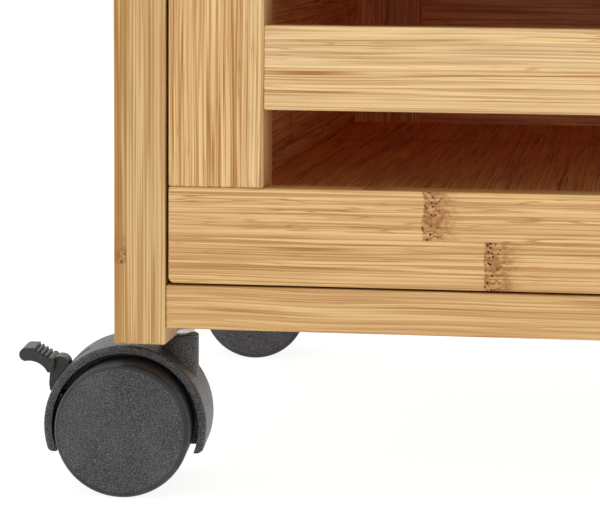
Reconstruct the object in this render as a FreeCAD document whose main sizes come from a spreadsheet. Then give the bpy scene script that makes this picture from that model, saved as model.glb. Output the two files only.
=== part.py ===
import FreeCAD, Part
import math
import os

# Rolling utility cart: a bamboo case on four swivel castors, holding three slatted drawers
# on ball-bearing slides. Millimetres. The origin is on the floor, midway between the posts;
# +X is to the right, +Y to the rear and +Z up, so the drawers pull out towards -Y.

doc = FreeCAD.newDocument("utility_cart")
sheet = doc.addObject("Spreadsheet::Sheet", "Sizes")

DRAWERS = 3
BALLS_IN_A_ROW = 4
SCREW_SHARES = (0.12, 0.88)     # of a slide's length, from its front end
SIZES = (
    ("cart_width", 420, "across the outer faces of the posts"),
    ("cart_depth", 386, "over the front and rear faces of the posts"),
    ("edge_round", 0.8, "easing on every edge of a board"),
    ("post_width", 19, "post, across"),
    ("post_depth", 24, "post, front to rear"),
    ("post_bottom", 58.5, "height of the posts' feet"),
    ("base_bottom", 64.5, "underside of the base frame"),
    ("base_thick", 16, "thickness of the base frame"),
    ("base_recess", 0.5, "base rail behind the posts' front face"),
    ("side_rail", 38, "width of the flat rail that carries the castors"),
    ("base_panel_thick", 8, "panel inside the base frame"),
    ("side_panel_thick", 10, "case side, flush with the posts' inner faces"),
    ("back_panel_thick", 6, "case back"),
    ("back_recess", 2, "case back inside the posts' rear face"),
    ("top_thick", 16, "top board"),
    ("top_overhang", 4, "top board past the posts, all round"),
    ("tier_clear", 157.5, "clear height of one drawer opening"),
    ("divider_thick", 16, "rail between two drawers"),
    ("divider_depth", 20, "the same rail, front to rear"),
    ("front_gap_side", 1.0, "reveal between a drawer front and a post"),
    ("front_gap_end", 0.75, "reveal above and below a drawer front"),
    ("front_thick", 14, "drawer front"),
    ("front_rail", 35, "height of a drawer front's top and bottom rails"),
    ("front_stile", 34.5, "width of a drawer front's stiles"),
    ("front_corner", 2.2, "rounding of the drawer front's outer corners"),
    ("slat_height", 30, "slat across the drawer front"),
    ("slide_clear", 13.5, "space for a slide beside a drawer"),
    ("side_thick", 12, "drawer side"),
    ("side_low", 13, "underside of a drawer side above the opening's foot"),
    ("side_height", 132, "drawer side"),
    ("floor_top", 34, "drawer floor above the opening's foot"),
    ("floor_thick", 6, "drawer floor"),
    ("block_width", 9.5, "corner block behind a stile, across"),
    ("block_depth", 11, "corner block, front to rear"),
    ("back_inner", 366, "drawer back's inner face behind the cart's front"),
    ("back_thick", 10, "drawer back"),
    ("back_stile", 33, "stile of the drawer back"),
    ("slide_start", 16, "front end of a slide behind the cart's front"),
    ("slide_length", 350, "slide"),
    ("slide_height", 35, "case member of a slide"),
    ("slide_level", 70, "middle of a slide above the opening's foot"),
    ("steel", 1.2, "thickness of the slide's steel"),
    ("case_lip", 9, "depth of the case member's lips"),
    ("bar_height", 22, "drawer member of a slide"),
    ("bar_lip", 9, "depth of the drawer member's lips"),
    ("cage_start", 145, "front end of a ball cage behind the cart's front"),
    ("cage_length", 96, "ball cage"),
    ("ball_radius", 2.5, "bearing ball"),
    ("cage_strap", 0.8, "thickness of a ball cage's strap"),
    ("cage_clear", 2.9, "strap's back from the side panel"),
    ("cage_flange", 1.4, "thickness of a ball cage's flanges"),
    ("cage_margin", 0.85, "flange past its balls"),
    ("castor_inset", 18, "swivel axis inside the cart's side"),
    ("castor_setback", 35, "swivel axis behind the cart's front or rear"),
    ("castor_turn", 5.3, "degrees that each castor is turned at rest"),
    ("castor_trail", 19, "wheel centre behind the swivel axis"),
    ("wheel_radius", 25, "castor wheel"),
    ("wheel_width", 20, "one wheel of the twin pair"),
    ("wheel_inner", 8, "inner face of a wheel from the castor's middle plane"),
    ("wheel_round", 2.2, "rounding between the disc and the tread"),
    ("wheel_inner_edge", 0.6, "chamfer on the tread's inner edge"),
    ("cap_line", 0.4, "groove behind the disc's rounded shoulder"),
    ("hub_clear", 0.3, "hub bore past the axle's end"),
    ("axle_radius", 3, "axle"),
    ("axle_length", 38, "axle"),
    ("running_gap", 0.05, "radial clearance of a running fit"),
    ("hood_radius", 30.3, "outside of the hood over the wheels"),
    ("hood_thick", 3, "hood wall"),
    ("hood_rim_round", 1.4, "rounding of the hood's outer rims"),
    ("hood_width", 36, "hood, along the axle"),
    ("hood_drop", 9.8, "hood's ends below the axle"),
    ("hood_end_round", 3.2, "rounding of the hood's ends, outside"),
    ("web_drop", 8.4, "web's foot below the axle"),
    ("web_width", 14.4, "web between the wheels"),
    ("socket_radius", 7.0, "swivel socket"),
    ("socket_top", 57.5, "top of the swivel socket"),
    ("socket_crisp", 0.4, "chamfer on the socket's top edge"),
    ("socket_line", 1.3, "rim line below the socket's top"),
    ("line_width", 0.3, "parting line or rim line, across"),
    ("line_depth", 0.2, "parting line or rim line, deep"),
    ("socket_depth", 22, "bore in the swivel socket"),
    ("stem_radius", 4, "castor stem"),
    ("stem_thread", 14, "stem above its collar, in the base"),
    ("collar_flats", 9.5, "hexagon collar across its flats"),
    ("collar_gap", 1.0, "collar above the socket"),
    ("washer_rim", 0.9, "collar's washer past its flats"),
    ("washer_thick", 1.2, "collar's washer"),
    ("pad_width", 16, "brake pedal's pad"),
    ("lever_width", 9, "brake pedal's body"),
    ("lever_slot", 9.8, "opening in the hood for the pedal"),
    ("pin_radius", 1.5, "pedal's trunnions"),
    ("pin_out", 23.2, "pedal's pivot, outwards from the axle"),
    ("pin_up", 14, "pedal's pivot above the axle"),
    ("shoe_radius", 0.6, "brake bar over the treads"),
    ("shoe_reach", 26.5, "brake bar from the axle"),
    ("shoe_angle", 156.5, "degrees to the brake bar, from the stem side"),
    ("shoe_length", 27, "brake bar, across both treads"),
    ("window_before", 2.2, "degrees of the bar's window in the web before the bar"),
    ("window_after", 5.5, "degrees of the same window past the bar, for its travel"),
    ("pedal_slot_start", 133, "degrees where the hood's pedal slot starts"),
    ("pedal_slot_stop", 164, "degrees where it stops"),
    ("pedal_slot_floor", 22.4, "foot of the pedal slot from the axle"),
    ("slit_start", 119.5, "degrees where the narrow slit above the pedal starts"),
    ("slit_width", 4.2, "the same slit, along the axle"),
    ("slit_floor", 24.5, "foot of the slit from the axle"),
    ("window_floor", 24.9, "foot of the bar's window from the axle"),
    ("screw_head", 3.2, "slide screw's head radius"),
    ("screw_head_height", 1.3, "slide screw's head"),
    ("screw_shank", 1.6, "slide screw's shank radius"),
    ("screw_length", 8, "slide screw's shank in the panel"),
    ("screw_clear", 0.3, "clearance round a slide screw in the steel"),
)
for row, (alias, value, note) in enumerate(SIZES, start=1):
    sheet.set("A%d" % row, note)
    sheet.set("B%d" % row, str(value))
    sheet.setAlias("B%d" % row, alias)
doc.recompute()

nodes = []      # the objects that are written out, one file each
AXES = "xyz"
FRONT = "-Sizes.cart_depth / 2"
REAR = "Sizes.cart_depth / 2"
BASE_TOP = "(Sizes.base_bottom + Sizes.base_thick)"
TIER = "(Sizes.tier_clear + Sizes.divider_thick)"
TOP_UNDER = "(%s + %d * %s - Sizes.divider_thick)" % (BASE_TOP, DRAWERS, TIER)
DRAWER_SIDE_OUT = "(Sizes.cart_width / 2 - Sizes.post_width - Sizes.slide_clear)"
DRAWER_SIDE_IN = "(%s - Sizes.side_thick)" % DRAWER_SIDE_OUT
SIDES = (("left", -1), ("right", 1))
ENDS = (("front", -1), ("rear", 1))


def size(alias):
    """The number in the sheet's cell of this name."""
    return float(sheet.get(alias))


def size_of(expression):
    """Value of an expression in the sheet's names."""
    return float(sheet.evalExpression(expression))


def keep(label, piece):
    """Give a piece its node's name and put it on the list to write out."""
    piece.Label = label
    nodes.append(piece)
    return piece


def place(piece, position=None, turn=None):
    """Bind a piece's place, and its turn about Z, to the sheet."""
    for axis, expression in zip(AXES, position or ()):
        piece.setExpression("Placement.Base." + axis, expression)
    if turn is not None:
        piece.setExpression("Placement.Rotation.Angle", turn)
    return piece


def group(label, pieces):
    """Several like pieces of one body as one node of separate solids."""
    bundle = doc.addObject("Part::Compound", label)
    bundle.Links = pieces
    return keep(label, bundle)


def long_edges(shape, direction, test):
    """Names of the straight edges along a direction whose middle passes the test."""
    names = []
    for number, edge in enumerate(shape.Edges, start=1):
        along = abs(edge.tangentAt(edge.FirstParameter).dot(direction))
        if edge.Curve.TypeId == "Part::GeomLine" and along > 0.999 and test(edge.CenterOfMass):
            names.append("Edge%d" % number)
    return names


def board(name, low, extent, corner_test=None):
    """A board with eased edges: its lowest corner and its extent, as expressions.

    corner_test picks front-to-rear edges that get the larger corner rounding first.
    """
    body = doc.addObject("PartDesign::Body", name)
    blank = body.newObject("PartDesign::AdditiveBox", name + "_blank")
    for side, expression in zip(("Length", "Width", "Height"), extent):
        blank.setExpression(side, expression)
    base, edges = blank, ["Edge1"]
    if corner_test:
        doc.recompute()
        corner = body.newObject("PartDesign::Fillet", name + "_corner")
        corner.Base = (blank, long_edges(blank.Shape, FreeCAD.Vector(0, 1, 0), corner_test))
        corner.setExpression("Radius", "Sizes.front_corner")
        base = corner
    eased = body.newObject("PartDesign::Fillet", name + "_eased")
    eased.Base = (base, edges)
    eased.UseAllEdges = True
    eased.setExpression("Radius", "Sizes.edge_round")
    return place(body, low)


def mirrored_low(sign, inner, width):
    """X of a board's lowest corner, where the board's face nearest the middle is at inner."""
    return "%s" % inner if sign > 0 else "-(%s) - (%s)" % (inner, width)


def posts():
    """Four posts from below the base to the top board."""
    height = "%s - Sizes.post_bottom" % TOP_UNDER
    for end, end_sign in ENDS:
        pair = []
        for side, sign in SIDES:
            x = mirrored_low(sign, "Sizes.cart_width / 2 - Sizes.post_width", "Sizes.post_width")
            y = FRONT if end_sign < 0 else REAR + " - Sizes.post_depth"
            pair.append(board("%s_%s_post" % (end, side), (x, y, "Sizes.post_bottom"),
                              ("Sizes.post_width", "Sizes.post_depth", height)))
        group(end + "_posts", pair)


def case():
    """The base frame, the case's panels, the top board and the rails between drawers."""
    inside = "Sizes.cart_width - 2 * Sizes.post_width"
    left = "-(%s) / 2" % inside
    rail_depth = "Sizes.post_depth - Sizes.base_recess"
    keep("base_front_rail", board("base_front_rail",
         (left, FRONT + " + Sizes.base_recess", "Sizes.base_bottom"),
         (inside, rail_depth, "Sizes.base_thick")))
    keep("base_rear_rail", board("base_rear_rail",
         (left, REAR + " - Sizes.post_depth", "Sizes.base_bottom"),
         (inside, rail_depth, "Sizes.base_thick")))
    between_posts = "Sizes.cart_depth - 2 * Sizes.post_depth"
    behind_post = FRONT + " + Sizes.post_depth"
    group("base_side_rails", [bored_rail(side, sign, behind_post, between_posts)
                              for side, sign in SIDES])
    keep("base_panel", board("base_panel",
         ("-Sizes.cart_width / 2 + Sizes.side_rail", behind_post,
          "Sizes.base_bottom + (Sizes.base_thick - Sizes.base_panel_thick) / 2"),
         ("Sizes.cart_width - 2 * Sizes.side_rail", between_posts, "Sizes.base_panel_thick")))
    panel_height = "%s - %s" % (TOP_UNDER, BASE_TOP)
    for side, sign in SIDES:
        x = mirrored_low(sign, "Sizes.cart_width / 2 - Sizes.post_width", "Sizes.side_panel_thick")
        keep(side + "_side_panel", board(side + "_side_panel", (x, behind_post, BASE_TOP),
             ("Sizes.side_panel_thick", between_posts, panel_height)))
    keep("back_panel", board("back_panel",
         (left, REAR + " - Sizes.back_recess - Sizes.back_panel_thick", BASE_TOP),
         (inside, "Sizes.back_panel_thick", panel_height)))
    keep("top_board", board("top_board",
         ("-Sizes.cart_width / 2 - Sizes.top_overhang", FRONT + " - Sizes.top_overhang", TOP_UNDER),
         ("Sizes.cart_width + 2 * Sizes.top_overhang",
          "Sizes.cart_depth + 2 * Sizes.top_overhang", "Sizes.top_thick")))
    group("front_dividers", [
        board("divider_%d" % tier,
              (left, FRONT + " + Sizes.base_recess",
               "%s + %d * %s - Sizes.divider_thick" % (BASE_TOP, tier, TIER)),
              (inside, "Sizes.divider_depth", "Sizes.divider_thick"))
        for tier in range(1, DRAWERS)])


def bored_rail(side, sign, front, length):
    """A flat side rail with a blind hole near each end for the castors' stems."""
    x = mirrored_low(sign, "Sizes.cart_width / 2 - Sizes.side_rail", "Sizes.side_rail")
    rail = board("base_%s_rail" % side, (x, front, "Sizes.base_bottom"),
                 ("Sizes.side_rail", length, "Sizes.base_thick"))
    inset = "Sizes.castor_inset" if sign < 0 else "Sizes.side_rail - Sizes.castor_inset"
    setback = "(Sizes.castor_setback - Sizes.post_depth)"
    for end, y in (("front", setback), ("rear", "%s - %s" % (length, setback))):
        hole = rail.newObject("PartDesign::SubtractiveCylinder", "stem_hole_%s_%s" % (side, end))
        hole.setExpression("Radius", "Sizes.stem_radius + 2 * Sizes.running_gap")
        hole.setExpression("Height", "Sizes.stem_thread + 2 * Sizes.running_gap")
        place(hole, (inset, y, "0"))
    return rail


def tier_level(tier, above):
    """Height of something that is this far above the foot of a drawer's opening."""
    return "%s + %d * %s + %s" % (BASE_TOP, tier, TIER, above)


def slide_middle(tier):
    """Height of the middle of a tier's slides."""
    return size_of(tier_level(tier, "Sizes.slide_level"))


def drawer_front(tier):
    """Two rails with two stiles and a slat between them, with finger gaps above and below."""
    name = "drawer_%d_" % (tier + 1)
    width = "(Sizes.cart_width - 2 * Sizes.post_width - 2 * Sizes.front_gap_side)"
    height = "(Sizes.tier_clear - 2 * Sizes.front_gap_end)"
    foot = tier_level(tier, "Sizes.front_gap_end")
    opening = "(%s - 2 * Sizes.front_rail)" % height
    rail_middle = size("front_rail") / 2
    rails = [
        board(name + "lower_rail", ("-%s / 2" % width, FRONT, foot),
              (width, "Sizes.front_thick", "Sizes.front_rail"),
              lambda middle: middle.z < rail_middle),
        board(name + "upper_rail",
              ("-%s / 2" % width, FRONT, foot + " + %s - Sizes.front_rail" % height),
              (width, "Sizes.front_thick", "Sizes.front_rail"),
              lambda middle: middle.z > rail_middle)]
    group(name + "front_rails", rails)
    stiles = []
    for side, sign in SIDES:
        x = mirrored_low(sign, "%s / 2 - Sizes.front_stile" % width, "Sizes.front_stile")
        stiles.append(board(name + side + "_stile", (x, FRONT, foot + " + Sizes.front_rail"),
                            ("Sizes.front_stile", "Sizes.front_thick", opening)))
    group(name + "front_stiles", stiles)
    slat_width = "(%s - 2 * Sizes.front_stile)" % width
    slat_foot = "%s + %s / 2 - Sizes.slat_height / 2" % (foot, height)
    keep(name + "front_slat", board(name + "front_slat",
         ("-%s / 2" % slat_width, FRONT, slat_foot),
         (slat_width, "Sizes.front_thick", "Sizes.slat_height")))


def drawer_box(tier):
    """Sides, corner blocks, back and floor of a drawer."""
    name = "drawer_%d_" % (tier + 1)
    behind_front = FRONT + " + Sizes.front_thick"
    foot = tier_level(tier, "Sizes.side_low")
    run = "Sizes.back_inner + Sizes.back_thick - Sizes.front_thick"
    group(name + "sides", [
        board(name + side + "_side",
              (mirrored_low(sign, DRAWER_SIDE_IN, "Sizes.side_thick"), behind_front, foot),
              ("Sizes.side_thick", run, "Sizes.side_height"))
        for side, sign in SIDES])
    group(name + "corner_blocks", [
        board(name + side + "_block",
              (mirrored_low(sign, DRAWER_SIDE_IN + " - Sizes.block_width", "Sizes.block_width"),
               behind_front, tier_level(tier, "Sizes.floor_top")),
              ("Sizes.block_width", "Sizes.block_depth",
               "Sizes.side_low + Sizes.side_height - Sizes.floor_top"))
        for side, sign in SIDES])
    back_y = FRONT + " + Sizes.back_inner"
    back_half = "(%s - Sizes.back_stile)" % DRAWER_SIDE_IN
    back = [board(name + side + "_back_stile",
                  (mirrored_low(sign, back_half, "Sizes.back_stile"), back_y, foot),
                  ("Sizes.back_stile", "Sizes.back_thick", "Sizes.side_height"))
            for side, sign in SIDES]
    back.append(board(name + "back_panel", ("-" + back_half, back_y, foot),
                      ("2 * " + back_half, "Sizes.back_thick", "Sizes.side_height")))
    group(name + "back", back)
    keep(name + "floor", board(name + "floor",
         ("-" + DRAWER_SIDE_IN, behind_front, tier_level(tier, "Sizes.floor_top - Sizes.floor_thick")),
         ("2 * " + DRAWER_SIDE_IN, "Sizes.back_inner - Sizes.front_thick", "Sizes.floor_thick")))


def strip(name, position, extent):
    """A plain strip of slide steel."""
    piece = doc.addObject("Part::Box", name)
    for side, expression in zip(("Length", "Width", "Height"), extent):
        piece.setExpression(side, expression)
    return place(piece, position)


def fuse(name, pieces):
    """One solid from several that overlap or touch."""
    union = doc.addObject("Part::MultiFuse", name)
    union.Shapes = pieces
    union.Refine = True
    return union


def channel(name, back_x, lip_x, lip_depth, start, length, middle, height):
    """A C-shaped steel section that runs front to rear."""
    steel = "Sizes.steel"
    low = "%s - %s / 2" % (middle, height)
    return fuse(name, [
        strip(name + "_back", (back_x, start, low), (steel, length, height)),
        strip(name + "_low_lip", (lip_x, start, low), (lip_depth, length, steel)),
        strip(name + "_high_lip", (lip_x, start, "%s + %s - %s" % (low, height, steel)),
              (lip_depth, length, steel))])


def slide(tier, side, sign):
    """The case member and the drawer member of one slide."""
    name = "slide_%d_%s" % (tier + 1, side)
    middle = tier_level(tier, "Sizes.slide_level")
    start = FRONT + " + Sizes.slide_start"
    panel_face = "Sizes.cart_width / 2 - Sizes.post_width"
    case_x = mirrored_low(sign, panel_face + " - Sizes.steel", "Sizes.steel")
    case_lip_x = mirrored_low(sign, panel_face + " - Sizes.case_lip", "Sizes.case_lip")
    case_member = channel(name + "_case", case_x, case_lip_x, "Sizes.case_lip",
                          start, "Sizes.slide_length", middle, "Sizes.slide_height")
    bar_x = mirrored_low(sign, DRAWER_SIDE_OUT, "Sizes.steel")
    bar_lip_x = mirrored_low(sign, DRAWER_SIDE_OUT, "Sizes.bar_lip")
    drawer_member = channel(name + "_bar", bar_x, bar_lip_x, "Sizes.bar_lip",
                            start, "Sizes.slide_length", middle, "Sizes.bar_height")
    return case_member, drawer_member


def ball_cage(tier, side, sign):
    """The bearing balls between a slide's two members, and the strip that spaces them out.

    Returns the strip and its loose balls, which sit in round holes in its flanges.
    """
    name = "cage_%d_%s" % (tier + 1, side)
    row_height = (size("bar_height") / 2 + size("slide_height") / 2 - size("steel")) / 2
    face = size("cart_width") / 2 - size("post_width")
    ball_x = face - (size("slide_clear") - size("bar_lip") + size("case_lip")) / 2
    strap_out = face - size("cage_clear")
    flange_in = ball_x - size("cage_margin") - size("ball_radius")
    thick, flange_thick = size("cage_strap"), size("cage_flange")
    start = -size("cart_depth") / 2 + size("cage_start")
    level = slide_middle(tier)
    strip_length = size("cage_length")
    ball_pitch = strip_length / BALLS_IN_A_ROW

    def across(low, high):
        """Lowest X of something between two distances on this side of the cart."""
        return low if sign > 0 else -high

    cage = Part.makeBox(thick, strip_length, 2 * row_height + flange_thick,
                        FreeCAD.Vector(across(strap_out - thick, strap_out), start,
                                       level - row_height - flange_thick / 2))
    holes, balls = [], []
    for row_level in (level - row_height, level + row_height):
        flange_low = row_level - flange_thick / 2
        cage = cage.fuse(Part.makeBox(strap_out - flange_in, strip_length, flange_thick,
                                      FreeCAD.Vector(across(flange_in, strap_out), start, flange_low)))
        for number in range(BALLS_IN_A_ROW):
            y = start + (number + 0.5) * ball_pitch
            holes.append(Part.makeCylinder(size("ball_radius") + size("running_gap"), 2 * flange_thick,
                                           FreeCAD.Vector(sign * ball_x, y, row_level - flange_thick)))
            ball = doc.addObject("Part::Sphere", name + "_ball")
            ball.setExpression("Radius", "Sizes.ball_radius")
            ball.Placement.Base = FreeCAD.Vector(sign * ball_x, y, row_level)
            balls.append(ball)
    spacer = doc.addObject("Part::Feature", name)
    spacer.Shape = cage.cut(holes).removeSplitter().Solids[0]
    return [spacer] + balls


def screw_places():
    """Where each case member's two screws are, front to rear."""
    start = -size("cart_depth") / 2 + size("slide_start")
    return [start + share * size("slide_length") for share in SCREW_SHARES]


def slide_screws():
    """Low-head screws that hold the case members to the side panels."""
    pieces = []
    steel = size("steel")
    face = size("cart_width") / 2 - size("post_width")
    for tier in range(DRAWERS):
        for side, sign in SIDES:
            for y in screw_places():
                inward = FreeCAD.Vector(-sign, 0, 0)
                seat = FreeCAD.Vector(sign * (face - steel), y, slide_middle(tier))
                head = Part.makeCone(size("screw_head"), size("screw_head") * 0.75,
                                     size("screw_head_height"), seat, inward)
                shank = Part.makeCylinder(size("screw_shank"), size("screw_length") + steel,
                                          seat, inward.negative())
                screw = doc.addObject("Part::Feature", "slide_screw")
                screw.Shape = head.fuse(shank)
                pieces.append(screw)
    group("slide_screws", pieces)


def drilled_case_members(members):
    """Clearance holes for the slide screws through the case members."""
    face = size("cart_width") / 2 - size("post_width")
    drilled = []
    for member, tier, sign in members:
        holes = []
        for y in screw_places():
            hole = doc.addObject("Part::Cylinder", member.Name + "_hole")
            hole.setExpression("Radius", "Sizes.screw_shank + Sizes.screw_clear")
            hole.setExpression("Height", "4 * Sizes.steel")
            hole.Placement = FreeCAD.Placement(
                FreeCAD.Vector(sign * face - 2 * size("steel"), y, slide_middle(tier)),
                FreeCAD.Rotation(FreeCAD.Vector(0, 1, 0), 90))
            holes.append(hole)
        cut = doc.addObject("Part::Cut", member.Name + "_drilled")
        cut.Base = member
        cut.Tool = fuse_loose(member.Name + "_holes", holes)
        drilled.append(cut)
    return drilled


def fuse_loose(name, pieces):
    """Several tools for one cut."""
    bundle = doc.addObject("Part::Compound", name)
    bundle.Links = pieces
    return bundle


def slides():
    """Three pairs of slides, each with its two ball cages."""
    members = []
    for tier in range(DRAWERS):
        bars, cages = [], []
        for side, sign in SIDES:
            case_member, bar = slide(tier, side, sign)
            members.append((case_member, tier, sign))
            bars.append(bar)
            cages += ball_cage(tier, side, sign)
        group("drawer_%d_slide_bars" % (tier + 1), bars)
        group("drawer_%d_ball_cages" % (tier + 1), cages)
    group("slide_case_members", drilled_case_members(members))
    slide_screws()


def cylinder(name, radius, height, middle, axis):
    """A cylinder about an axis of the castor's own frame, centred on a point."""
    piece = doc.addObject("Part::Cylinder", name)
    piece.setExpression("Radius", radius)
    piece.setExpression("Height", height)
    turn = FreeCAD.Rotation(FreeCAD.Vector(0, 0, 1), axis)
    piece.Placement = FreeCAD.Placement(FreeCAD.Vector(*middle) - axis * (size_of(height) / 2), turn)
    return piece


def cut(name, base, tool):
    """base with tool taken away."""
    piece = doc.addObject("Part::Cut", name)
    piece.Base = base
    piece.Tool = tool
    return piece


ALONG_AXLE = FreeCAD.Vector(0, 1, 0)
UP = FreeCAD.Vector(0, 0, 1)


def work_edges(name, kind, base, radius, test):
    """Part::Fillet or Part::Chamfer on the edges of base that pass the test."""
    doc.recompute()
    piece = doc.addObject(kind, name)
    piece.Base = base
    piece.Edges = [(number, radius, radius)
                   for number, edge in enumerate(base.Shape.Edges, start=1) if test(edge)]
    return piece


def below(name, drop, width):
    """A block under a level of the castor's frame, to trim the hood or the web."""
    block = doc.addObject("Part::Box", name)
    reach = 2 * size("hood_radius")
    block.Length = 2 * reach
    block.setExpression("Width", width + " + 10")
    block.Height = reach
    block.Placement.Base = FreeCAD.Vector(-reach, -(size_of(width) + 10) / 2, -reach - size(drop))
    return block


def hood_trim(name):
    """What is cut away under the hood, leaving its two ends rounded on the outside."""
    outer, drop = size("hood_radius"), size("hood_drop")
    inner = outer - size("hood_thick")
    rounding = size("hood_end_round")
    far, deep = 2 * outer, -2 * outer

    def at(x, z):
        return FreeCAD.Vector(x, 0, z)

    def end_arc(sign):
        foot = math.sqrt(inner ** 2 - drop ** 2) + 0.4
        side = math.sqrt(outer ** 2 - (drop - rounding) ** 2) + 0.3
        middle = at(sign * (side - 0.25 * (side - foot)), -drop + 0.3 * rounding)
        return Part.Arc(at(sign * foot, -drop), middle, at(sign * side, rounding - drop))

    right, left = end_arc(1), end_arc(-1)
    corners = [right.EndPoint, at(far, rounding - drop), at(far, deep), at(-far, deep),
               at(-far, rounding - drop), left.EndPoint]
    edges = [right.toShape(), left.toShape()]
    edges += [Part.LineSegment(*pair).toShape() for pair in zip(corners, corners[1:])]
    edges.append(Part.LineSegment(left.StartPoint, right.StartPoint).toShape())
    outline = Part.Wire(Part.__sortEdges__(edges))
    depth = size("hood_width") + 10
    trim = doc.addObject("Part::Feature", name)
    trim.Shape = Part.Face(outline).extrude(ALONG_AXLE * depth)
    trim.Placement.Base = FreeCAD.Vector(0, -depth / 2, 0)
    return trim


def hood_drum(name):
    """The hood's outside as a solid drum along the axle, its rims rounded off in short bevels."""
    radius, half, rounding = size("hood_radius"), size("hood_width") / 2, size("hood_rim_round")
    bevels = 3
    profile = [FreeCAD.Vector(0, -half, 0)]
    for end in (-1, 1):
        turns = [math.radians(90 * step / bevels) for step in range(bevels + 1)][::end]
        profile += [FreeCAD.Vector(radius - rounding * (1 - math.cos(turn)),
                                   end * (half - rounding * (1 - math.sin(turn))), 0)
                    for turn in turns]
    profile.append(FreeCAD.Vector(0, half, 0))
    profile.append(profile[0])
    drum = doc.addObject("Part::Feature", name)
    drum.Shape = Part.Face(Part.makePolygon(profile)).revolve(FreeCAD.Vector(), ALONG_AXLE, 360)
    return drum


def sector(name, inner, outer, start, stop, width):
    """A piece of a ring round the axle between two angles, for slots in the hood."""
    ring = cut(name + "_ring", cylinder(name + "_out", str(outer), width, (0, 0, 0), ALONG_AXLE),
               cylinder(name + "_in", str(inner), width + " + 1", (0, 0, 0), ALONG_AXLE))
    far = 2 * size("hood_radius")
    corners = [FreeCAD.Vector(0, 0, 0)]
    for angle in (start, (start + stop) / 2, stop):
        corners.append(FreeCAD.Vector(far * math.cos(math.radians(angle)), 0,
                                      far * math.sin(math.radians(angle))))
    corners.append(corners[0])
    depth = size_of(width) + 4
    wedge = doc.addObject("Part::Feature", name + "_wedge")
    face = Part.Face(Part.makePolygon(corners))
    wedge.Shape = face.extrude(ALONG_AXLE * depth)
    wedge.Placement.Base = FreeCAD.Vector(0, -depth / 2, 0)
    piece = doc.addObject("Part::Common", name)
    piece.Base = ring
    piece.Tool = wedge
    return piece


def groove_ring(name, radius, middle, axis):
    """A thin ring that cuts a parting line or a rim line into a round wall."""
    outside = cylinder(name + "_out", radius + " + 1", "Sizes.line_width", middle, axis)
    inside = cylinder(name + "_in", radius + " - Sizes.line_depth", "Sizes.line_width + 1",
                      middle, axis)
    return cut(name, outside, inside)


def housing(name, with_brake):
    """Castor housing: hood over both wheels, web between them and swivel socket.

    Its frame has the axle along Y through the origin, and the stem on its +X side.
    """
    crisp = size("socket_crisp")
    hood_inner = "Sizes.hood_radius - Sizes.hood_thick"
    hood = cut(name + "_hood_ring", hood_drum(name + "_hood_out"),
               cylinder(name + "_hood_in", hood_inner, "Sizes.hood_width + 2",
                        (0, 0, 0), ALONG_AXLE))
    hood = cut(name + "_hood_shell", hood, hood_trim(name + "_hood_trim"))
    web = cut(name + "_web", cylinder(name + "_web_disc", hood_inner + " + 0.5", "Sizes.web_width",
                                      (0, 0, 0), ALONG_AXLE),
              below(name + "_web_trim", "web_drop", "Sizes.web_width"))
    top = size("socket_top") - size("wheel_radius")
    socket_height = top + size("web_drop") - crisp
    socket = cylinder(name + "_socket", "Sizes.socket_radius", str(socket_height),
                      (size("castor_trail"), 0, top - socket_height / 2), UP)
    socket = work_edges(name + "_socket_rim", "Part::Chamfer", socket, crisp,
                        lambda edge: edge.CenterOfMass.z > top - 0.01)
    whole = fuse(name + "_blank", [hood, web, socket])
    bore_middle = (size("castor_trail"), 0, top - size("socket_depth") / 2)
    stem_bore = cylinder(name + "_stem_bore", "Sizes.stem_radius + Sizes.running_gap",
                         "Sizes.socket_depth", bore_middle, UP)
    axle_bore = cylinder(name + "_axle_bore", "Sizes.axle_radius + 0.02", "Sizes.web_width + 2",
                         (0, 0, 0), ALONG_AXLE)
    tools = [stem_bore, axle_bore,
             groove_ring(name + "_parting", "Sizes.hood_radius", (0, 0, 0), ALONG_AXLE),
             groove_ring(name + "_rim_line", "Sizes.socket_radius",
                         (size("castor_trail"), 0, top - size("socket_line")), UP)]
    if with_brake:
        outside = size("hood_radius") + 1
        slot_start = size("pedal_slot_start")
        bar = size("shoe_angle")
        tools += [sector(name + "_pedal_slot", size("pedal_slot_floor"), outside,
                         slot_start, size("pedal_slot_stop"), "Sizes.lever_slot"),
                  sector(name + "_slit", size("slit_floor"), outside,
                         size("slit_start"), slot_start + 1, "Sizes.slit_width"),
                  sector(name + "_shoe_window", size("window_floor"), size_of(hood_inner),
                         bar - size("window_before"), bar + size("window_after"),
                         "Sizes.web_width + 1"),
                  cylinder(name + "_pivot_holes", "Sizes.pin_radius + Sizes.running_gap",
                           "Sizes.web_width - 1",
                           (-size("pin_out"), 0, size("pin_up")), ALONG_AXLE)]
    return cut(name, whole, fuse_loose(name + "_tools", tools))


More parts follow.
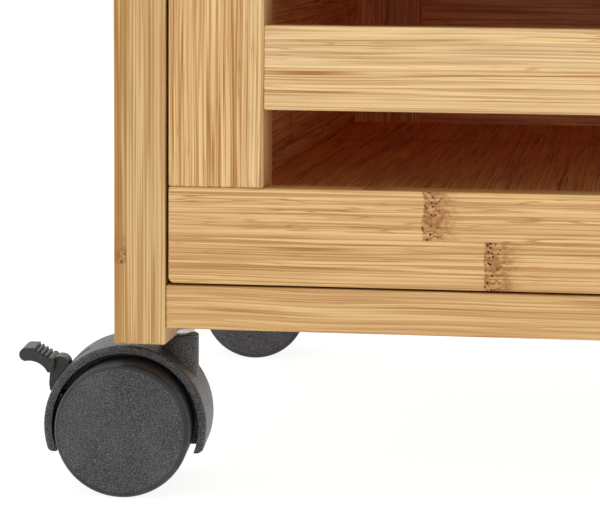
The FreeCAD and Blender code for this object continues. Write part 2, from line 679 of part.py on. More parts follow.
def wheel(name):
    """One wheel of a twin castor: disc face towards -Y, blind hub bore from the inner face."""
    body = doc.addObject("PartDesign::Body", name)
    blank = body.newObject("PartDesign::AdditiveCylinder", name + "_blank")
    blank.setExpression("Radius", "Sizes.wheel_radius")
    blank.setExpression("Height", "Sizes.wheel_width")
    doc.recompute()

    def rim(shape, level):
        return ["Edge%d" % number for number, edge in enumerate(shape.Edges, start=1)
                if edge.Curve.TypeId == "Part::GeomCircle" and abs(edge.CenterOfMass.z - level) < 0.01
                and abs(edge.Curve.Radius - size("wheel_radius")) < 0.01]

    shoulder = body.newObject("PartDesign::Fillet", name + "_shoulder")
    shoulder.Base = (blank, rim(blank.Shape, size("wheel_width")))
    shoulder.setExpression("Radius", "Sizes.wheel_round")
    doc.recompute()
    inner = body.newObject("PartDesign::Chamfer", name + "_inner_edge")
    inner.Base = (shoulder, rim(shoulder.Shape, 0))
    inner.setExpression("Size", "Sizes.wheel_inner_edge")
    bore = body.newObject("PartDesign::SubtractiveCylinder", name + "_bore")
    bore.setExpression("Radius", "Sizes.axle_radius + Sizes.running_gap")
    bore.setExpression("Height", "Sizes.axle_length / 2 - Sizes.wheel_inner + Sizes.hub_clear")
    line = body.newObject("PartDesign::SubtractiveTorus", name + "_cap_line")
    line.setExpression("Radius1", "Sizes.wheel_radius")
    line.setExpression("Radius2", "Sizes.cap_line")
    place(line, ("0", "0", "Sizes.wheel_width - Sizes.wheel_round - 0.5"))
    body.Placement = FreeCAD.Placement(FreeCAD.Vector(0, -size("wheel_inner"), 0),
                                       FreeCAD.Rotation(FreeCAD.Vector(1, 0, 0), 90))
    return body


def pedal_pad_outline():
    """Side view of the pedal's pad: rounded toe, hollow underside and four grip ribs."""
    def at(x, z):
        return FreeCAD.Vector(x, 0, z)

    toe_low, toe_far, toe_high = at(-38.6, 22.25), at(-40.8, 24.6), at(-38.6, 27.2)
    point = at(-35.1, 27.2)
    edges = [Part.Arc(toe_low, toe_far, toe_high), Part.LineSegment(toe_high, point)]
    ribs, step, drop, groove_width, groove_depth = 4, 1.5, 0.85, 0.8, 0.7
    for _ in range(ribs):
        valley = at(point.x + groove_width / 2, point.z - drop - groove_depth)
        rib_start = at(point.x + groove_width, point.z - drop)
        rib_end = at(point.x + step, point.z - drop)
        edges += [Part.LineSegment(point, valley), Part.LineSegment(valley, rib_start),
                  Part.LineSegment(rib_start, rib_end)]
        point = rib_end
    heel = at(-27.9, 20.4)
    under = at(-30.2, 18.1)
    edges.append(Part.Arc(point, at(-27.6, 22.2), heel))
    edges.append(Part.Arc(heel, at(-28.8, 18.3), under))
    edges.append(Part.Arc(under, at(-33.5, 21.5), toe_low))
    return edges


def pedal_body_outline():
    """Side view of the pedal's body: boss on top, wedge down through the hood's slot."""
    def at(x, z):
        return FreeCAD.Vector(x, 0, z)

    boss_left, boss_top, boss_right = at(-29.6, 19.9), at(-26.1, 23.7), at(-22.5, 20.6)
    toe, heel = at(-29.7, 10.7), at(-30.1, 13.2)
    return [Part.Arc(boss_left, boss_top, boss_right),
            Part.LineSegment(boss_right, at(-20.9, 16.5)),
            Part.LineSegment(at(-20.9, 16.5), at(-21.2, 12.2)),
            Part.LineSegment(at(-21.2, 12.2), at(-23.4, 10.1)),
            Part.LineSegment(at(-23.4, 10.1), toe),
            Part.LineSegment(toe, heel),
            Part.LineSegment(heel, boss_left)]


def prism(name, outline, width):
    """A sketch in the castor's XZ plane, padded both ways from the middle."""
    body = doc.addObject("PartDesign::Body", name)
    sketch = body.newObject("Sketcher::SketchObject", name + "_outline")
    plane = [item for item in body.Origin.OriginFeatures if item.Role == "XZ_Plane"][0]
    sketch.AttachmentSupport = (plane, "")
    sketch.MapMode = "FlatFace"
    flat = FreeCAD.Placement(FreeCAD.Vector(), FreeCAD.Rotation(FreeCAD.Vector(1, 0, 0), -90))
    for curve in outline:
        shape = curve.toShape()
        shape.Placement = flat
        points = [shape.valueAt(shape.FirstParameter), shape.valueAt(shape.LastParameter)]
        if isinstance(curve, Part.LineSegment):
            sketch.addGeometry(Part.LineSegment(*points), False)
        else:
            middle = shape.valueAt((shape.FirstParameter + shape.LastParameter) / 2)
            sketch.addGeometry(Part.Arc(points[0], middle, points[1]), False)
    pad = body.newObject("PartDesign::Pad", name + "_pad")
    pad.Profile = sketch
    pad.setExpression("Length", width)
    pad.Midplane = True
    return body


def pedal(name):
    """Brake pedal of a front castor: pad, body, trunnions and the bar that grips the treads."""
    angle = math.radians(size("shoe_angle"))
    shoe_middle = (size("shoe_reach") * math.cos(angle), 0, size("shoe_reach") * math.sin(angle))
    return fuse(name, [
        prism(name + "_pad", pedal_pad_outline(), "Sizes.pad_width"),
        prism(name + "_body", pedal_body_outline(), "Sizes.lever_width"),
        cylinder(name + "_trunnions", "Sizes.pin_radius", "Sizes.web_width - 1.4",
                 (-size("pin_out"), 0, size("pin_up")), ALONG_AXLE),
        cylinder(name + "_shoe", "Sizes.shoe_radius", "Sizes.shoe_length", shoe_middle, ALONG_AXLE)])


def stem(name):
    """Castor stem: pin in the socket, hexagon collar, and thread up into the base."""
    hexagon = doc.addObject("Part::Prism", name + "_collar")
    hexagon.Polygon = 6
    hexagon.setExpression("Circumradius", "Sizes.collar_flats / sqrt(3)")
    hexagon.setExpression("Height", "Sizes.base_bottom - Sizes.socket_top - Sizes.collar_gap")
    place(hexagon, ("0", "0", "Sizes.socket_top + Sizes.collar_gap"))
    washer = doc.addObject("Part::Cylinder", name + "_washer")
    washer.setExpression("Radius", "Sizes.collar_flats / 2 + Sizes.washer_rim")
    washer.setExpression("Height", "Sizes.washer_thick")
    place(washer, ("0", "0", "Sizes.socket_top + Sizes.collar_gap"))
    pin_depth = size("socket_depth") - 1
    pin = doc.addObject("Part::Cylinder", name + "_pin")
    pin.setExpression("Radius", "Sizes.stem_radius")
    pin.setExpression("Height", "%s + Sizes.base_bottom - Sizes.socket_top + Sizes.stem_thread"
                      % pin_depth)
    place(pin, ("0", "0", "Sizes.socket_top - %s" % pin_depth))
    return fuse(name, [hexagon, washer, pin])


def copy(name, master, position, turn):
    """A piece like master, placed and turned about Z."""
    twin = doc.addObject("Part::Compound", name)
    twin.Links = [master]
    return place(twin, position, turn)


def castors():
    """Four twin-wheel castors: braked at the front, plain at the rear."""
    masters = {"front": housing("braked_housing", True), "rear": housing("plain_housing", False)}
    wheel_master = wheel("castor_wheel")
    pedal_master = pedal("brake_pedal")
    stem_master = stem("castor_stem")
    axle_master = cylinder("castor_axle", "Sizes.axle_radius", "Sizes.axle_length",
                           (0, 0, 0), ALONG_AXLE)
    stems = []
    for end, end_sign in ENDS:
        for side, sign in SIDES:
            name = "%s_%s_castor_" % (end, side)
            turn = "Sizes.castor_turn" if sign < 0 else "180 - Sizes.castor_turn"
            face_turn = "Sizes.castor_turn" if sign < 0 else "-Sizes.castor_turn"
            swivel_x = "%d * (Sizes.cart_width / 2 - Sizes.castor_inset)" % sign
            swivel_y = "%d * (Sizes.cart_depth / 2 - Sizes.castor_setback)" % end_sign
            centre = ("%s - Sizes.castor_trail * cos((%s) * 1 deg)" % (swivel_x, turn),
                      "%s - Sizes.castor_trail * sin((%s) * 1 deg)" % (swivel_y, turn),
                      "Sizes.wheel_radius")
            keep(name + "housing", copy(name + "housing", masters[end], centre, turn))
            keep(name + "axle", copy(name + "axle", axle_master, centre, turn))
            keep(name + "front_wheel", copy(name + "front_wheel", wheel_master, centre, face_turn))
            keep(name + "rear_wheel",
                 copy(name + "rear_wheel", wheel_master, centre, "180 + (%s)" % face_turn))
            if end == "front":
                keep(name + "brake_pedal", copy(name + "brake_pedal", pedal_master, centre, turn))
            stems.append(copy(name + "stem", stem_master, (swivel_x, swivel_y, "0"), "0"))
    group("castor_stems", stems)


posts()
case()
for tier in range(DRAWERS):
    drawer_front(tier)
    drawer_box(tier)
slides()
castors()
doc.recompute()

for item in doc.Objects:
    if "Invalid" in item.State or "Error" in item.State:
        raise RuntimeError("%s failed: %s" % (item.Label, item.State))
for node in nodes:
    if node.Shape.isNull() or not node.Shape.isValid() or not node.Shape.Solids:
        raise RuntimeError("%s has no valid solid" % node.Label)

os.makedirs("parts", exist_ok=True)
for node in nodes:
    node.Shape.exportStep("parts/%s.step" % node.Label)
    print("%-34s %2d solids %10.1f mm3" % (node.Label, len(node.Shape.Solids), node.Shape.Volume))
print(len(nodes), "nodes")
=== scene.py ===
import math

import bpy
from mathutils import Matrix, Vector


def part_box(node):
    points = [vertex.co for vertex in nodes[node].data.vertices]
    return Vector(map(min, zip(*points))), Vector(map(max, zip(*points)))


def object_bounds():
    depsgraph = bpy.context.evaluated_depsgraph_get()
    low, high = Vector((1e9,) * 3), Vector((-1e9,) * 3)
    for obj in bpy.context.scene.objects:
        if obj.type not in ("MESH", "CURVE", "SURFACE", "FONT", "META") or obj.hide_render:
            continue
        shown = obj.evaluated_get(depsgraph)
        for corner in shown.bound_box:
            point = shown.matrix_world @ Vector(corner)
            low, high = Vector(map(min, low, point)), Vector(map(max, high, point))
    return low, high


# Looks of the rolling utility cart: procedural bamboo for every board, moulded plastic for the
# castors, plated and rolled steel for the stems and slides. Metres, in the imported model's frame.

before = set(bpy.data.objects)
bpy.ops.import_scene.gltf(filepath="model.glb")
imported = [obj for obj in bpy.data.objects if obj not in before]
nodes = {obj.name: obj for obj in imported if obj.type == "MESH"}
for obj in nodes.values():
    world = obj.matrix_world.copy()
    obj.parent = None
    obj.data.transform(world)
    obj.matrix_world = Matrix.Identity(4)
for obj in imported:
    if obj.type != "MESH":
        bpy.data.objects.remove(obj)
cad_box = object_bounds()
MM = 0.001


# Driving sizes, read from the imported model

_, post_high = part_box("front_posts")
rail_low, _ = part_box("drawer_1_front_rails")
stile_low, stile_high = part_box("drawer_1_front_stiles")
slat_low, slat_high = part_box("drawer_1_front_slat")
second_rail_low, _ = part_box("drawer_2_front_rails")
base_low, base_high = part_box("base_front_rail")
_, block_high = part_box("drawer_1_corner_blocks")
tier_pitch = second_rail_low.z - rail_low.z
rail_height = stile_low.z - rail_low.z
rail_pitch = stile_high.z - rail_low.z
half_slat = (slat_high.z - slat_low.z) / 2
CASTOR_TURN = math.radians(5.3)     # how far each castor is swivelled at rest


def srgb(red, green, blue):
    """A linear colour from 0 to 255 display values."""
    def linear(value):
        value /= 255
        return value / 12.92 if value <= 0.04045 else ((value + 0.055) / 1.055) ** 2.4
    return (linear(red), linear(green), linear(blue), 1.0)


X, Y, Z = 0, 1, 2

# colours of the bamboo: base tones of even and odd strips, fibre lines, light streaks, nodes
PANEL_TONES = srgb(204, 160, 104), srgb(216, 178, 124)
POST_TONES = srgb(194, 160, 110), srgb(174, 134, 76)
RAIL_TONES = srgb(201, 158, 104), srgb(210, 168, 114)
STILE_TONES = srgb(216, 180, 132), srgb(206, 164, 110)
SLAT_TONES = srgb(216, 180, 130), srgb(222, 190, 142)
BASE_TONES = srgb(198, 156, 102), srgb(206, 166, 114)
TOP_TONES = srgb(204, 163, 111), srgb(214, 178, 129)
FIBRE, PALE = srgb(154, 96, 30), srgb(240, 208, 144)
NODE_BROWN, PORE_BROWN = srgb(138, 80, 30), srgb(52, 26, 10)
# the drawer boxes' bamboo: its own colour with painted light, lighter and redder than the outer
# boards to stand in for the dim, warm bounced light inside the drawers
BOX_TONES = srgb(230, 172, 106), srgb(236, 182, 116)
BOX_FIBRE, BOX_PALE = srgb(142, 80, 36), srgb(240, 188, 116)
# painted light: a faint red emission that lights the drawer boards' insides, which the lamps hardly
# reach
BOX_PAINTED_GLOW = (0.03, 0.004, 0.0, 1.0)

# glue lines: width, strength and colour; the last is painted shade where a drawer floor meets its
# walls
SEAM = (0.4 * MM, 0.35, FIBRE)
BOX_SEAM = (0.6 * MM, 0.7, srgb(60, 24, 8))
FLOOR_WALL_SHADE = (1.6 * MM, 0.95, srgb(30, 10, 4))

# widths of the strips that the boards are laminated from
POST_LAMINA = 4.6 * MM          # the darker outer lamina of a post
POST_CORE = 14.4 * MM           # the rest of the post's face
STILE_STRIP = 26.5 * MM         # the wide outer strip of a stile
PANEL_STRIP = 20 * MM
SIDE_RAIL_STRIP = 19 * MM
BLOCK_STRIP = 5 * MM
SIDE_RAIL_INNER = 0.172         # a base side rail's inner edge from the middle plane
BACK_PANEL_HALF = 0.1325        # where a drawer back's stiles meet its panel

# one strip differs from the next by these, and the left of a mirrored board from the right
HAND_SEED, HAND_SHIFT = 0.37, 0.083
CELL_SEED, CELL_SEED_STEP = 1.7, 0.61
SECOND_CHANCE = 31.4            # offset to a second random number from one seed
NOISE_APART = 3.3               # distance between two strips' places in the noise
DRIFT_SCALE, DRIFT_REACH = 9.0, 4 * MM
NODE_PERIOD = 310 * MM          # between two culm nodes along a strip
NODE_RAGGED = 3.0 * MM          # unevenness of a node's edge


class Shader:
    """A node material, built with one call per node. Inputs are numbers, colours or sockets."""

    def __init__(self, name, **finish):
        self.material = bpy.data.materials.new(name)
        self.material.use_nodes = True
        self.tree = self.material.node_tree
        self.surface = self.tree.nodes["Principled BSDF"]
        for socket, value in finish.items():
            self.surface.inputs[socket.replace("_", " ")].default_value = value
        self.place = self.add("ShaderNodeTexCoord")

    def add(self, kind, inputs=(), **settings):
        node = self.tree.nodes.new(kind)
        for key, value in settings.items():
            setattr(node, key, value)
        for key, value in dict(inputs).items():
            self.feed(node.inputs[key], value)
        return node

    def feed(self, socket, value):
        if isinstance(value, bpy.types.NodeSocket):
            self.tree.links.new(value, socket)
        else:
            socket.default_value = value

    def finish(self, **sockets):
        for socket, value in sockets.items():
            self.feed(self.surface.inputs[socket.replace("_", " ")], value)
        return self.material

    def math(self, operation, first, second=0.0, third=0.0, clamp=False):
        node = self.add("ShaderNodeMath", {0: first, 1: second, 2: third}, operation=operation)
        node.use_clamp = clamp
        return node.outputs[0]

    def ramp(self, value, low, high, to_low=0.0, to_high=1.0):
        """A smooth step of value between low and high."""
        node = self.add("ShaderNodeMapRange", {"Value": value, "From Min": low, "From Max": high,
                                               "To Min": to_low, "To Max": to_high},
                        interpolation_type="SMOOTHSTEP")
        return node.outputs[0]

    def mix(self, amount, first, second, blend="MIX"):
        node = self.add("ShaderNodeMix", data_type="RGBA", blend_type=blend)
        self.feed(node.inputs[0], amount)
        self.feed(node.inputs[6], first)
        self.feed(node.inputs[7], second)
        return node.outputs[2]

    def blend_value(self, amount, first, second):
        node = self.add("ShaderNodeMix", {0: amount, 2: first, 3: second}, data_type="FLOAT")
        return node.outputs[0]

    def vector(self, x, y, z):
        return self.add("ShaderNodeCombineXYZ", {0: x, 1: y, 2: z}).outputs[0]

    def axes(self, vector):
        return self.add("ShaderNodeSeparateXYZ", {0: vector}).outputs

    def noise(self, vector, scale=1.0, detail=2.0, roughness=0.5):
        node = self.add("ShaderNodeTexNoise", {"Vector": vector, "Scale": scale,
                                               "Detail": detail, "Roughness": roughness})
        return node.outputs["Fac"]

    def chance(self, seed):
        """A repeatable random number from 0 to 1 for each value of seed."""
        node = self.add("ShaderNodeTexWhiteNoise", {"W": seed}, noise_dimensions="1D")
        return node.outputs["Value"]

    def spots(self, vector, scale):
        """Distance to the nearest of a scatter of points, in cells."""
        node = self.add("ShaderNodeTexVoronoi", {"Vector": vector, "Scale": scale})
        return node.outputs["Distance"]

    def bump(self, height, distance, strength):
        node = self.add("ShaderNodeBump", {"Height": height, "Distance": distance,
                                           "Strength": strength})
        return node.outputs[0]


def bamboo(name, along, across, cells, tones, fibre=FIBRE, paler=PALE, seam_and_shade=SEAM, painted_glow=None,
           wave=0.5, contrast=1.0, long_lines=0.5, node_at=0.05, node_depth=1.0,
           mirrored=False, turned=None):
    """Laminated bamboo.

    along, across: the grain's axis and the axis that the strips are counted on, 0 to 2.
    cells: (start, pitch, node shift) from coarse to fine; the last is the strips themselves.
    tones: base colours of even and odd strips. fibre: colour of the fibre lines.
    paler: colour of the light streaks. seam_and_shade: width, strength and colour of the lines at
    strip edges; glue lines, and on drawer floors painted shade at the walls.
    painted_glow: faint colour that the boards emit, painted light for the dim insides of the
    drawers.
    wave: how far the strips' grain wanders. contrast: strength of streaks and lines.
    long_lines: share of long lines against short dashes, 0 to 1.
    node_at: place of the first cell's node along the grain. node_depth: strength of the nodes.
    mirrored: strips are counted from the middle plane outwards.
    turned: beyond this distance from the middle plane the grain and the strips swap axes.
    """
    look = Shader(name, Specular_IOR_Level=0.3)
    position = look.axes(look.place.outputs["Object"])
    run, side, depth = position[along], position[across], position[3 - along - across]
    seed, shift = 0.0, 0.0
    if mirrored:
        hand = look.math("GREATER_THAN", side, 0.0)
        side = look.math("ABSOLUTE", side)
        seed = look.math("MULTIPLY", hand, HAND_SEED)
        shift = look.math("MULTIPLY", hand, HAND_SHIFT)
    if turned is not None:
        swap = look.math("GREATER_THAN", look.math("ABSOLUTE", position[X]), turned)
        run, side = look.blend_value(swap, run, side), look.blend_value(swap, side, run)
    for number, (start, pitch, node_shift) in enumerate(cells):
        offset = look.math("SUBTRACT", side, start)
        index = look.math("FLOOR", look.math("DIVIDE", offset, pitch))
        side = look.math("MULTIPLY_ADD", index, -pitch, offset)
        seed = look.math("MULTIPLY_ADD", index, CELL_SEED + CELL_SEED_STEP * number, seed)
        shift = look.math("MULTIPLY_ADD", index, node_shift, shift)
    strip_pitch = cells[-1][1]
    to_seam = look.math("MINIMUM", side, look.math("SUBTRACT", strip_pitch, side))
    parity = look.math("FLOORED_MODULO", index, 2.0)
    luck, more_luck = look.chance(seed), look.chance(look.math("ADD", seed, SECOND_CHANCE))

    # the strips come from different culms: each gets its own part of the noise and its own drift
    far = look.math("MULTIPLY", seed, NOISE_APART)
    slow_run = look.math("MULTIPLY", run, DRIFT_SCALE)
    drift = look.math("SUBTRACT", look.noise(look.vector(slow_run, far, 0.0), 1.0, 1.0), 0.5)
    side = look.math("MULTIPLY_ADD", drift, wave * DRIFT_REACH, side)
    side = look.math("ADD", side, far)
    depth = look.math("MULTIPLY_ADD", far, 0.7, depth)

    def fibres(length, spacing, detail, offset):
        """Noise drawn out along the grain: length and spacing of its streaks."""
        stretched = look.vector(
            look.math("MULTIPLY", look.math("ADD", run, offset), 1 / length),
            look.math("MULTIPLY", side, 1 / spacing), look.math("MULTIPLY", depth, 1 / spacing))
        return look.noise(stretched, 1.0, detail, 0.6)

    def lines(length, spacing, offset, width):
        """Thin lines that run with the grain and close into long lens shapes."""
        level = look.math("SUBTRACT", fibres(length, spacing, 1.0, offset), 0.5)
        return look.ramp(look.math("ABSOLUTE", level), 0.0, width, 1.0, 0.0)

    dash_share = look.ramp(more_luck, 0.2, 0.8, 1.0 - long_lines * 0.7, 0.6 - long_lines * 0.5)
    long_share = look.math("SUBTRACT", 1.15, dash_share)
    presence = look.ramp(fibres(60 * MM, 3.0 * MM, 1.0, 4.9), 0.36, 0.6)
    dashes = look.math("MULTIPLY", lines(40 * MM, 1.9 * MM, 0.0, 0.045), dash_share)
    long_strokes = look.math("MULTIPLY", lines(280 * MM, 2.0 * MM, 0.7, 0.04), long_share)
    strokes = look.math("MULTIPLY", look.math("MAXIMUM", dashes, long_strokes), presence,
                        clamp=True)
    threads = look.ramp(fibres(90 * MM, 0.6 * MM, 1.0, 1.3), 0.46, 0.56)
    pale = look.ramp(fibres(110 * MM, 0.95 * MM, 1.0, 2.1), 0.48, 0.57)
    cloud = look.ramp(fibres(120 * MM, 7.0 * MM, 1.0, 3.7), 0.4, 0.65)

    tone = look.math("MULTIPLY_ADD", luck, 0.3, look.math("MULTIPLY", parity, 0.7))
    colour = look.mix(tone, tones[0], tones[1])
    colour = look.mix(look.math("MULTIPLY", cloud, 0.2 * contrast), colour, fibre)
    colour = look.mix(look.math("MULTIPLY", threads, 0.45 * contrast), colour, fibre)
    colour = look.mix(look.math("MULTIPLY", pale, 0.45 * contrast), colour, paler)
    colour = look.mix(look.math("MULTIPLY", strokes, contrast, clamp=True), colour, fibre)
    # dark lines at the strip edges: glue lines, and on drawer floors painted shade in the corners
    # against the walls
    edge_line_width, edge_line_strength, edge_line_colour = seam_and_shade
    colour = look.mix(look.ramp(to_seam, 0.0, edge_line_width, edge_line_strength, 0.0), colour, edge_line_colour)

    # culm nodes: a sharp edge, mottling behind it that fades along the grain, and dark pores
    grain = look.vector(run, side, depth)
    reach = look.math("SUBTRACT", look.math("SUBTRACT", run, node_at), shift)
    reach = look.math("MULTIPLY_ADD", look.noise(grain, 420.0, 2.0), -NODE_RAGGED, reach)
    reach = look.math("FLOORED_MODULO", reach, NODE_PERIOD)
    behind = look.math("MULTIPLY", look.ramp(reach, 0.0, 0.7 * MM),
                       look.ramp(reach, 4 * MM, 16 * MM, 1.0, 0.0))
    mottle = look.noise(look.vector(look.math("MULTIPLY", run, 0.6), side, depth), 800.0, 3.0, 0.65)
    mottle = look.math("MULTIPLY", look.ramp(mottle, 0.4, 0.58), behind)
    colour = look.mix(look.math("MULTIPLY", behind, 0.3 * node_depth), colour, fibre)
    colour = look.mix(look.math("MULTIPLY", mottle, 0.75 * node_depth), colour, NODE_BROWN)
    pore = look.ramp(look.spots(grain, 620.0), 0.2, 0.36, 1.0, 0.0)
    pore = look.math("MULTIPLY", pore, look.ramp(reach, 0.2 * MM, 0.7 * MM))
    pore = look.math("MULTIPLY", pore, look.ramp(reach, 2.0 * MM, 10.0 * MM, 1.0, 0.0))
    colour = look.mix(look.math("MULTIPLY", pore, node_depth, clamp=True), colour, PORE_BROWN)

    relief = look.math("MULTIPLY_ADD", strokes, -0.7, look.math("MULTIPLY", threads, -0.5))
    relief = look.math("MULTIPLY_ADD", pore, -2.0, relief)
    # painted light: the boards glow faintly in a reddish tint of their own colour
    if painted_glow is not None:
        look.finish(Emission_Color=look.mix(1.0, colour, painted_glow, "MULTIPLY"), Emission_Strength=1.0)
    return look.finish(Base_Color=colour, Roughness=look.math("MULTIPLY_ADD", strokes, 0.1, 0.42),
                       Normal=look.bump(relief, 0.05 * MM, 0.6))


def dress(material, *names):
    """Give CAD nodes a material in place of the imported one."""
    for name in names:
        slots = nodes[name].material_slots
        for slot in slots:
            slot.material = material
        if not slots:
            nodes[name].data.materials.append(material)


def drawer_nodes(part):
    """Names of this part's nodes in the three drawers."""
    return ["drawer_%d_%s" % (tier, part) for tier in (1, 2, 3)]


# cells of strips: where they start, their pitch, and how far each one's nodes are shifted
panel_strips = [(0.0, PANEL_STRIP, 0.13)]
post_strips = [(post_high.x - POST_LAMINA - POST_CORE, POST_CORE, -0.164)]
tier_cell = (rail_low.z, tier_pitch, 0.13)
rail_strips = [tier_cell, (0.0, rail_pitch, 0.17), (0.0, rail_height / 2, -0.022)]
stile_strips = [(stile_high.x - 2 * STILE_STRIP, STILE_STRIP, 0.03)]
slat_strips = [(slat_low.z, tier_pitch, 0.21), (0.0, half_slat, 0.1)]
base_strips = [(base_low.z, base_high.z - base_low.z, 0.1)]
side_rail_strips = [(SIDE_RAIL_INNER, SIDE_RAIL_STRIP, 0.1)]
box_strips = [tier_cell, (0.0, PANEL_STRIP, 0.1)]
block_strips = [(0.0, BLOCK_STRIP, 0.1)]
floor_strips = [(-block_high.x, 2 * block_high.x, 0.0)]

dress(bamboo("post_bamboo", Z, X, post_strips, POST_TONES, wave=0.25, node_at=0.25,
             mirrored=True, long_lines=1.0, node_depth=0.7, contrast=0.8),
      "front_posts", "rear_posts")
dress(bamboo("front_rail_bamboo", X, Z, rail_strips, RAIL_TONES, node_at=-0.078),
      *drawer_nodes("front_rails"))
dress(bamboo("stile_bamboo", Z, X, stile_strips, STILE_TONES, node_at=0.29, mirrored=True,
             contrast=1.15), *drawer_nodes("front_stiles"))
dress(bamboo("slat_bamboo", X, Z, slat_strips, SLAT_TONES, node_at=0.29, contrast=0.95,
             long_lines=0.8), *drawer_nodes("front_slat"))
dress(bamboo("base_rail_bamboo", X, Z, base_strips, BASE_TONES, wave=1.6, node_at=0.1,
             contrast=0.8, node_depth=0.2),
      "base_front_rail", "base_rear_rail", "front_dividers")
dress(bamboo("side_rail_bamboo", Y, X, side_rail_strips, PANEL_TONES, mirrored=True),
      "base_side_rails")
dress(bamboo("base_panel_bamboo", Y, X, panel_strips, PANEL_TONES), "base_panel")
dress(bamboo("side_panel_bamboo", Z, Y, panel_strips, PANEL_TONES, node_depth=0.4),
      "left_side_panel", "right_side_panel")
dress(bamboo("back_panel_bamboo", Z, X, panel_strips, PANEL_TONES, node_depth=0.4),
      "back_panel")
dress(bamboo("top_bamboo", X, Y, panel_strips, TOP_TONES, node_depth=0.4), "top_board")

box_look = dict(tones=BOX_TONES, fibre=BOX_FIBRE, paler=BOX_PALE, painted_glow=BOX_PAINTED_GLOW,
                node_depth=0.5, contrast=1.2)
dress(bamboo("drawer_side_bamboo", Y, Z, box_strips, seam_and_shade=BOX_SEAM, **box_look),
      *drawer_nodes("sides"))
dress(bamboo("corner_block_bamboo", Z, X, block_strips, mirrored=True, seam_and_shade=BOX_SEAM,
             **box_look), *drawer_nodes("corner_blocks"))
dress(bamboo("drawer_back_bamboo", X, Z, box_strips, turned=BACK_PANEL_HALF, seam_and_shade=BOX_SEAM,
             **box_look), *drawer_nodes("back"))
# the floor's edge lines are painted shade where it meets the drawer walls
dress(bamboo("drawer_floor_bamboo", Y, X, floor_strips, seam_and_shade=FLOOR_WALL_SHADE, **box_look),
      *drawer_nodes("floor"))


DULLED = 0.72                   # share of a metal's brightness that its clouded spots keep
SCRATCH_DEPTH = 0.02 * MM
SKIN_GRAIN, SKIN_DEPTH = 0.42 * MM, 0.12 * MM
PEDAL_GRAIN, PEDAL_DEPTH = 0.5 * MM, 0.03 * MM


def pebbled_plastic(name, colour, highlight_colour, grain, height, turn=None):
    """Moulded plastic with a pebbled skin of the given grain.

    colour: colour between the pebbles. highlight_colour: painted highlight on pebble tops, and
    faintly on scuffs. grain, height: size of a pebble.
    turn: the axle's direction about Z, for a wheel. Its rounded shoulder, between disc and
    tread, is left smooth.
    """
    look = Shader(name, Specular_IOR_Level=0.5)
    place = look.place.outputs["Object"]
    pebble = look.ramp(look.spots(place, 1 / grain), 0.15, 0.75, 1.0, 0.0)
    fine = look.noise(place, 1.1 / grain, 2.0, 0.7)
    skin = look.math("MULTIPLY_ADD", fine, 0.5, pebble)
    amount = 1.0
    if turn is not None:
        axis = (math.sin(turn), math.cos(turn), 0.0)
        facing = look.add("ShaderNodeVectorMath", {0: look.place.outputs["Normal"], 1: axis},
                          operation="DOT_PRODUCT").outputs["Value"]
        facing = look.math("ABSOLUTE", facing)
        amount = look.math("MAXIMUM", look.ramp(facing, 0.965, 0.99),
                           look.ramp(facing, 0.12, 0.3, 1.0, 0.0))
    scuff = look.ramp(look.noise(place, 60.0, 3.0, 0.6), 0.35, 0.7)
    # painted highlights: bright glints on the pebble tops, painted into the colour
    painted_glint = look.ramp(look.math("MULTIPLY_ADD", fine, 1.2, look.math("MULTIPLY", pebble, 0.5)),
                      0.72, 1.2)
    painted_glint = look.math("MULTIPLY", painted_glint, amount)
    tone = look.mix(look.math("MULTIPLY", scuff, 0.15), colour, highlight_colour)
    tone = look.mix(painted_glint, tone, highlight_colour)
    rough = look.math("MULTIPLY_ADD", painted_glint, -0.1, 0.42)
    return look.finish(Base_Color=tone, Roughness=rough,
                       Normal=look.bump(look.math("MULTIPLY", skin, amount), height, 0.9))


def brushed_metal(name, colour, roughness, stretch):
    """Plated or rolled steel. stretch: scale of its fine scratches along X, Y and Z."""
    look = Shader(name, Metallic=1.0)
    position = look.axes(look.place.outputs["Object"])
    drawn = look.vector(*[look.math("MULTIPLY", position[axis], stretch[axis])
                          for axis in range(3)])
    scratch = look.noise(drawn, 1.0, 3.0, 0.6)
    bloom = look.noise(look.place.outputs["Object"], 90.0, 2.0)
    dull = tuple(channel * DULLED for channel in colour[:3]) + (1.0,)
    tone = look.mix(look.ramp(bloom, 0.3, 0.7), colour, dull)
    rough = look.math("ADD", look.ramp(scratch, 0.3, 0.7, -0.06, 0.1), roughness)
    return look.finish(Base_Color=tone, Roughness=rough,
                       Normal=look.bump(scratch, SCRATCH_DEPTH, 0.5))


# the second colour of each skin is its painted highlight
housing_skin = pebbled_plastic("housing_plastic", srgb(12, 12, 13), srgb(112, 111, 112),
                               SKIN_GRAIN, SKIN_DEPTH)
pedal_skin = pebbled_plastic("pedal_plastic", srgb(14, 13, 13), srgb(44, 42, 42),
                             PEDAL_GRAIN, PEDAL_DEPTH)
wheel_skins = {
    side: pebbled_plastic(side + "_wheel_plastic", srgb(12, 12, 14), srgb(108, 107, 111),
                          SKIN_GRAIN, SKIN_DEPTH, hand * CASTOR_TURN)
    for side, hand in (("left", 1), ("right", -1))}
zinc = brushed_metal("zinc_plate", srgb(205, 207, 210), 0.22, (300.0, 300.0, 900.0))
slide_steel = brushed_metal("slide_steel", srgb(176, 180, 184), 0.34, (900.0, 20.0, 900.0))
cage_steel = brushed_metal("cage_steel", srgb(196, 190, 170), 0.28, (700.0, 30.0, 700.0))

for end in ("front", "rear"):
    for side in ("left", "right"):
        castor = "%s_%s_castor_" % (end, side)
        dress(housing_skin, castor + "housing")
        dress(zinc, castor + "axle")
        dress(wheel_skins[side], castor + "front_wheel", castor + "rear_wheel")
        if end == "front":
            dress(pedal_skin, castor + "brake_pedal")
dress(zinc, "castor_stems", "slide_screws")
dress(slide_steel, "slide_case_members", *drawer_nodes("slide_bars"))
dress(cage_steel, *drawer_nodes("ball_cages"))


# Studio: pale floor, white surroundings, a broad lamp overhead, a soft key from the left and a
# small low fill in front, which reaches into the gaps of the drawer fronts

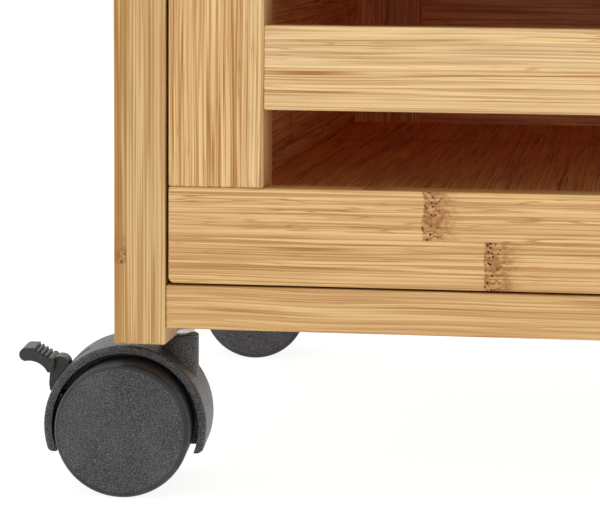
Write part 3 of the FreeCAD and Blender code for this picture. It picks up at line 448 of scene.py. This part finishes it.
floor_mesh = bpy.data.meshes.new("studio_floor")
FLOOR_HALF = 4.0
WHITE = (1.0, 1.0, 1.0, 1.0)
corners = [(x * FLOOR_HALF, y * FLOOR_HALF, 0) for x, y in ((-1, -1), (1, -1), (1, 1), (-1, 1))]
floor_mesh.from_pydata(corners, [], [(0, 1, 2, 3)])
studio_floor = bpy.data.objects.new("studio_floor", floor_mesh)
bpy.context.scene.collection.objects.link(studio_floor)
paper = Shader("floor_paper", Roughness=0.9, Emission_Strength=0.9)
grit = paper.noise(paper.place.outputs["Object"], 180.0, 3.0)
paper.finish(Base_Color=paper.mix(grit, (0.16, 0.16, 0.16, 1.0), (0.18, 0.18, 0.18, 1.0)),
             Emission_Color=WHITE)
floor_mesh.materials.append(paper.material)

world = bpy.data.worlds.new("studio")
world.use_nodes = True
background = world.node_tree.nodes["Background"]
background.inputs["Color"].default_value = WHITE
background.inputs["Strength"].default_value = 1.0
bpy.context.scene.world = world
bpy.context.scene.view_settings.view_transform = "Standard"


def lamp(name, place, target, size, power):
    """A square soft lamp that faces a point."""
    light = bpy.data.lights.new(name, "AREA")
    light.size = size
    light.energy = power
    holder = bpy.data.objects.new(name, light)
    holder.location = place
    aim = Vector(target) - Vector(place)
    holder.rotation_euler = aim.to_track_quat("-Z", "Y").to_euler()
    bpy.context.scene.collection.objects.link(holder)


middle = (cad_box[0] + cad_box[1]) / 2
lamp("overhead", (-0.3, -0.5, 2.1), middle, 1.0, 6.0)
lamp("key", (-1.2, -1.8, 0.8), middle, 0.8, 1.0)
lamp("fill", (-0.5, -2.4, 0.3), middle, 0.4, 2.2)


# Camera at the photograph's viewing angle

YAW, PITCH, ROLL = math.radians(7.83), math.radians(7.21), math.radians(0.43)
CAMERA_PLACE = (-0.0217, -1.0679, 0.2034)
camera_data = bpy.data.cameras.new("camera")
camera_data.sensor_width = 36.0
camera_data.lens = 149.3
camera = bpy.data.objects.new("camera", camera_data)
turn = Matrix.Rotation(YAW, 4, "Z") @ Matrix.Rotation(math.pi / 2 - PITCH, 4, "X")
camera.matrix_world = Matrix.Translation(CAMERA_PLACE) @ turn @ Matrix.Rotation(ROLL, 4, "Z")
bpy.context.scene.collection.objects.link(camera)
bpy.context.scene.camera = camera
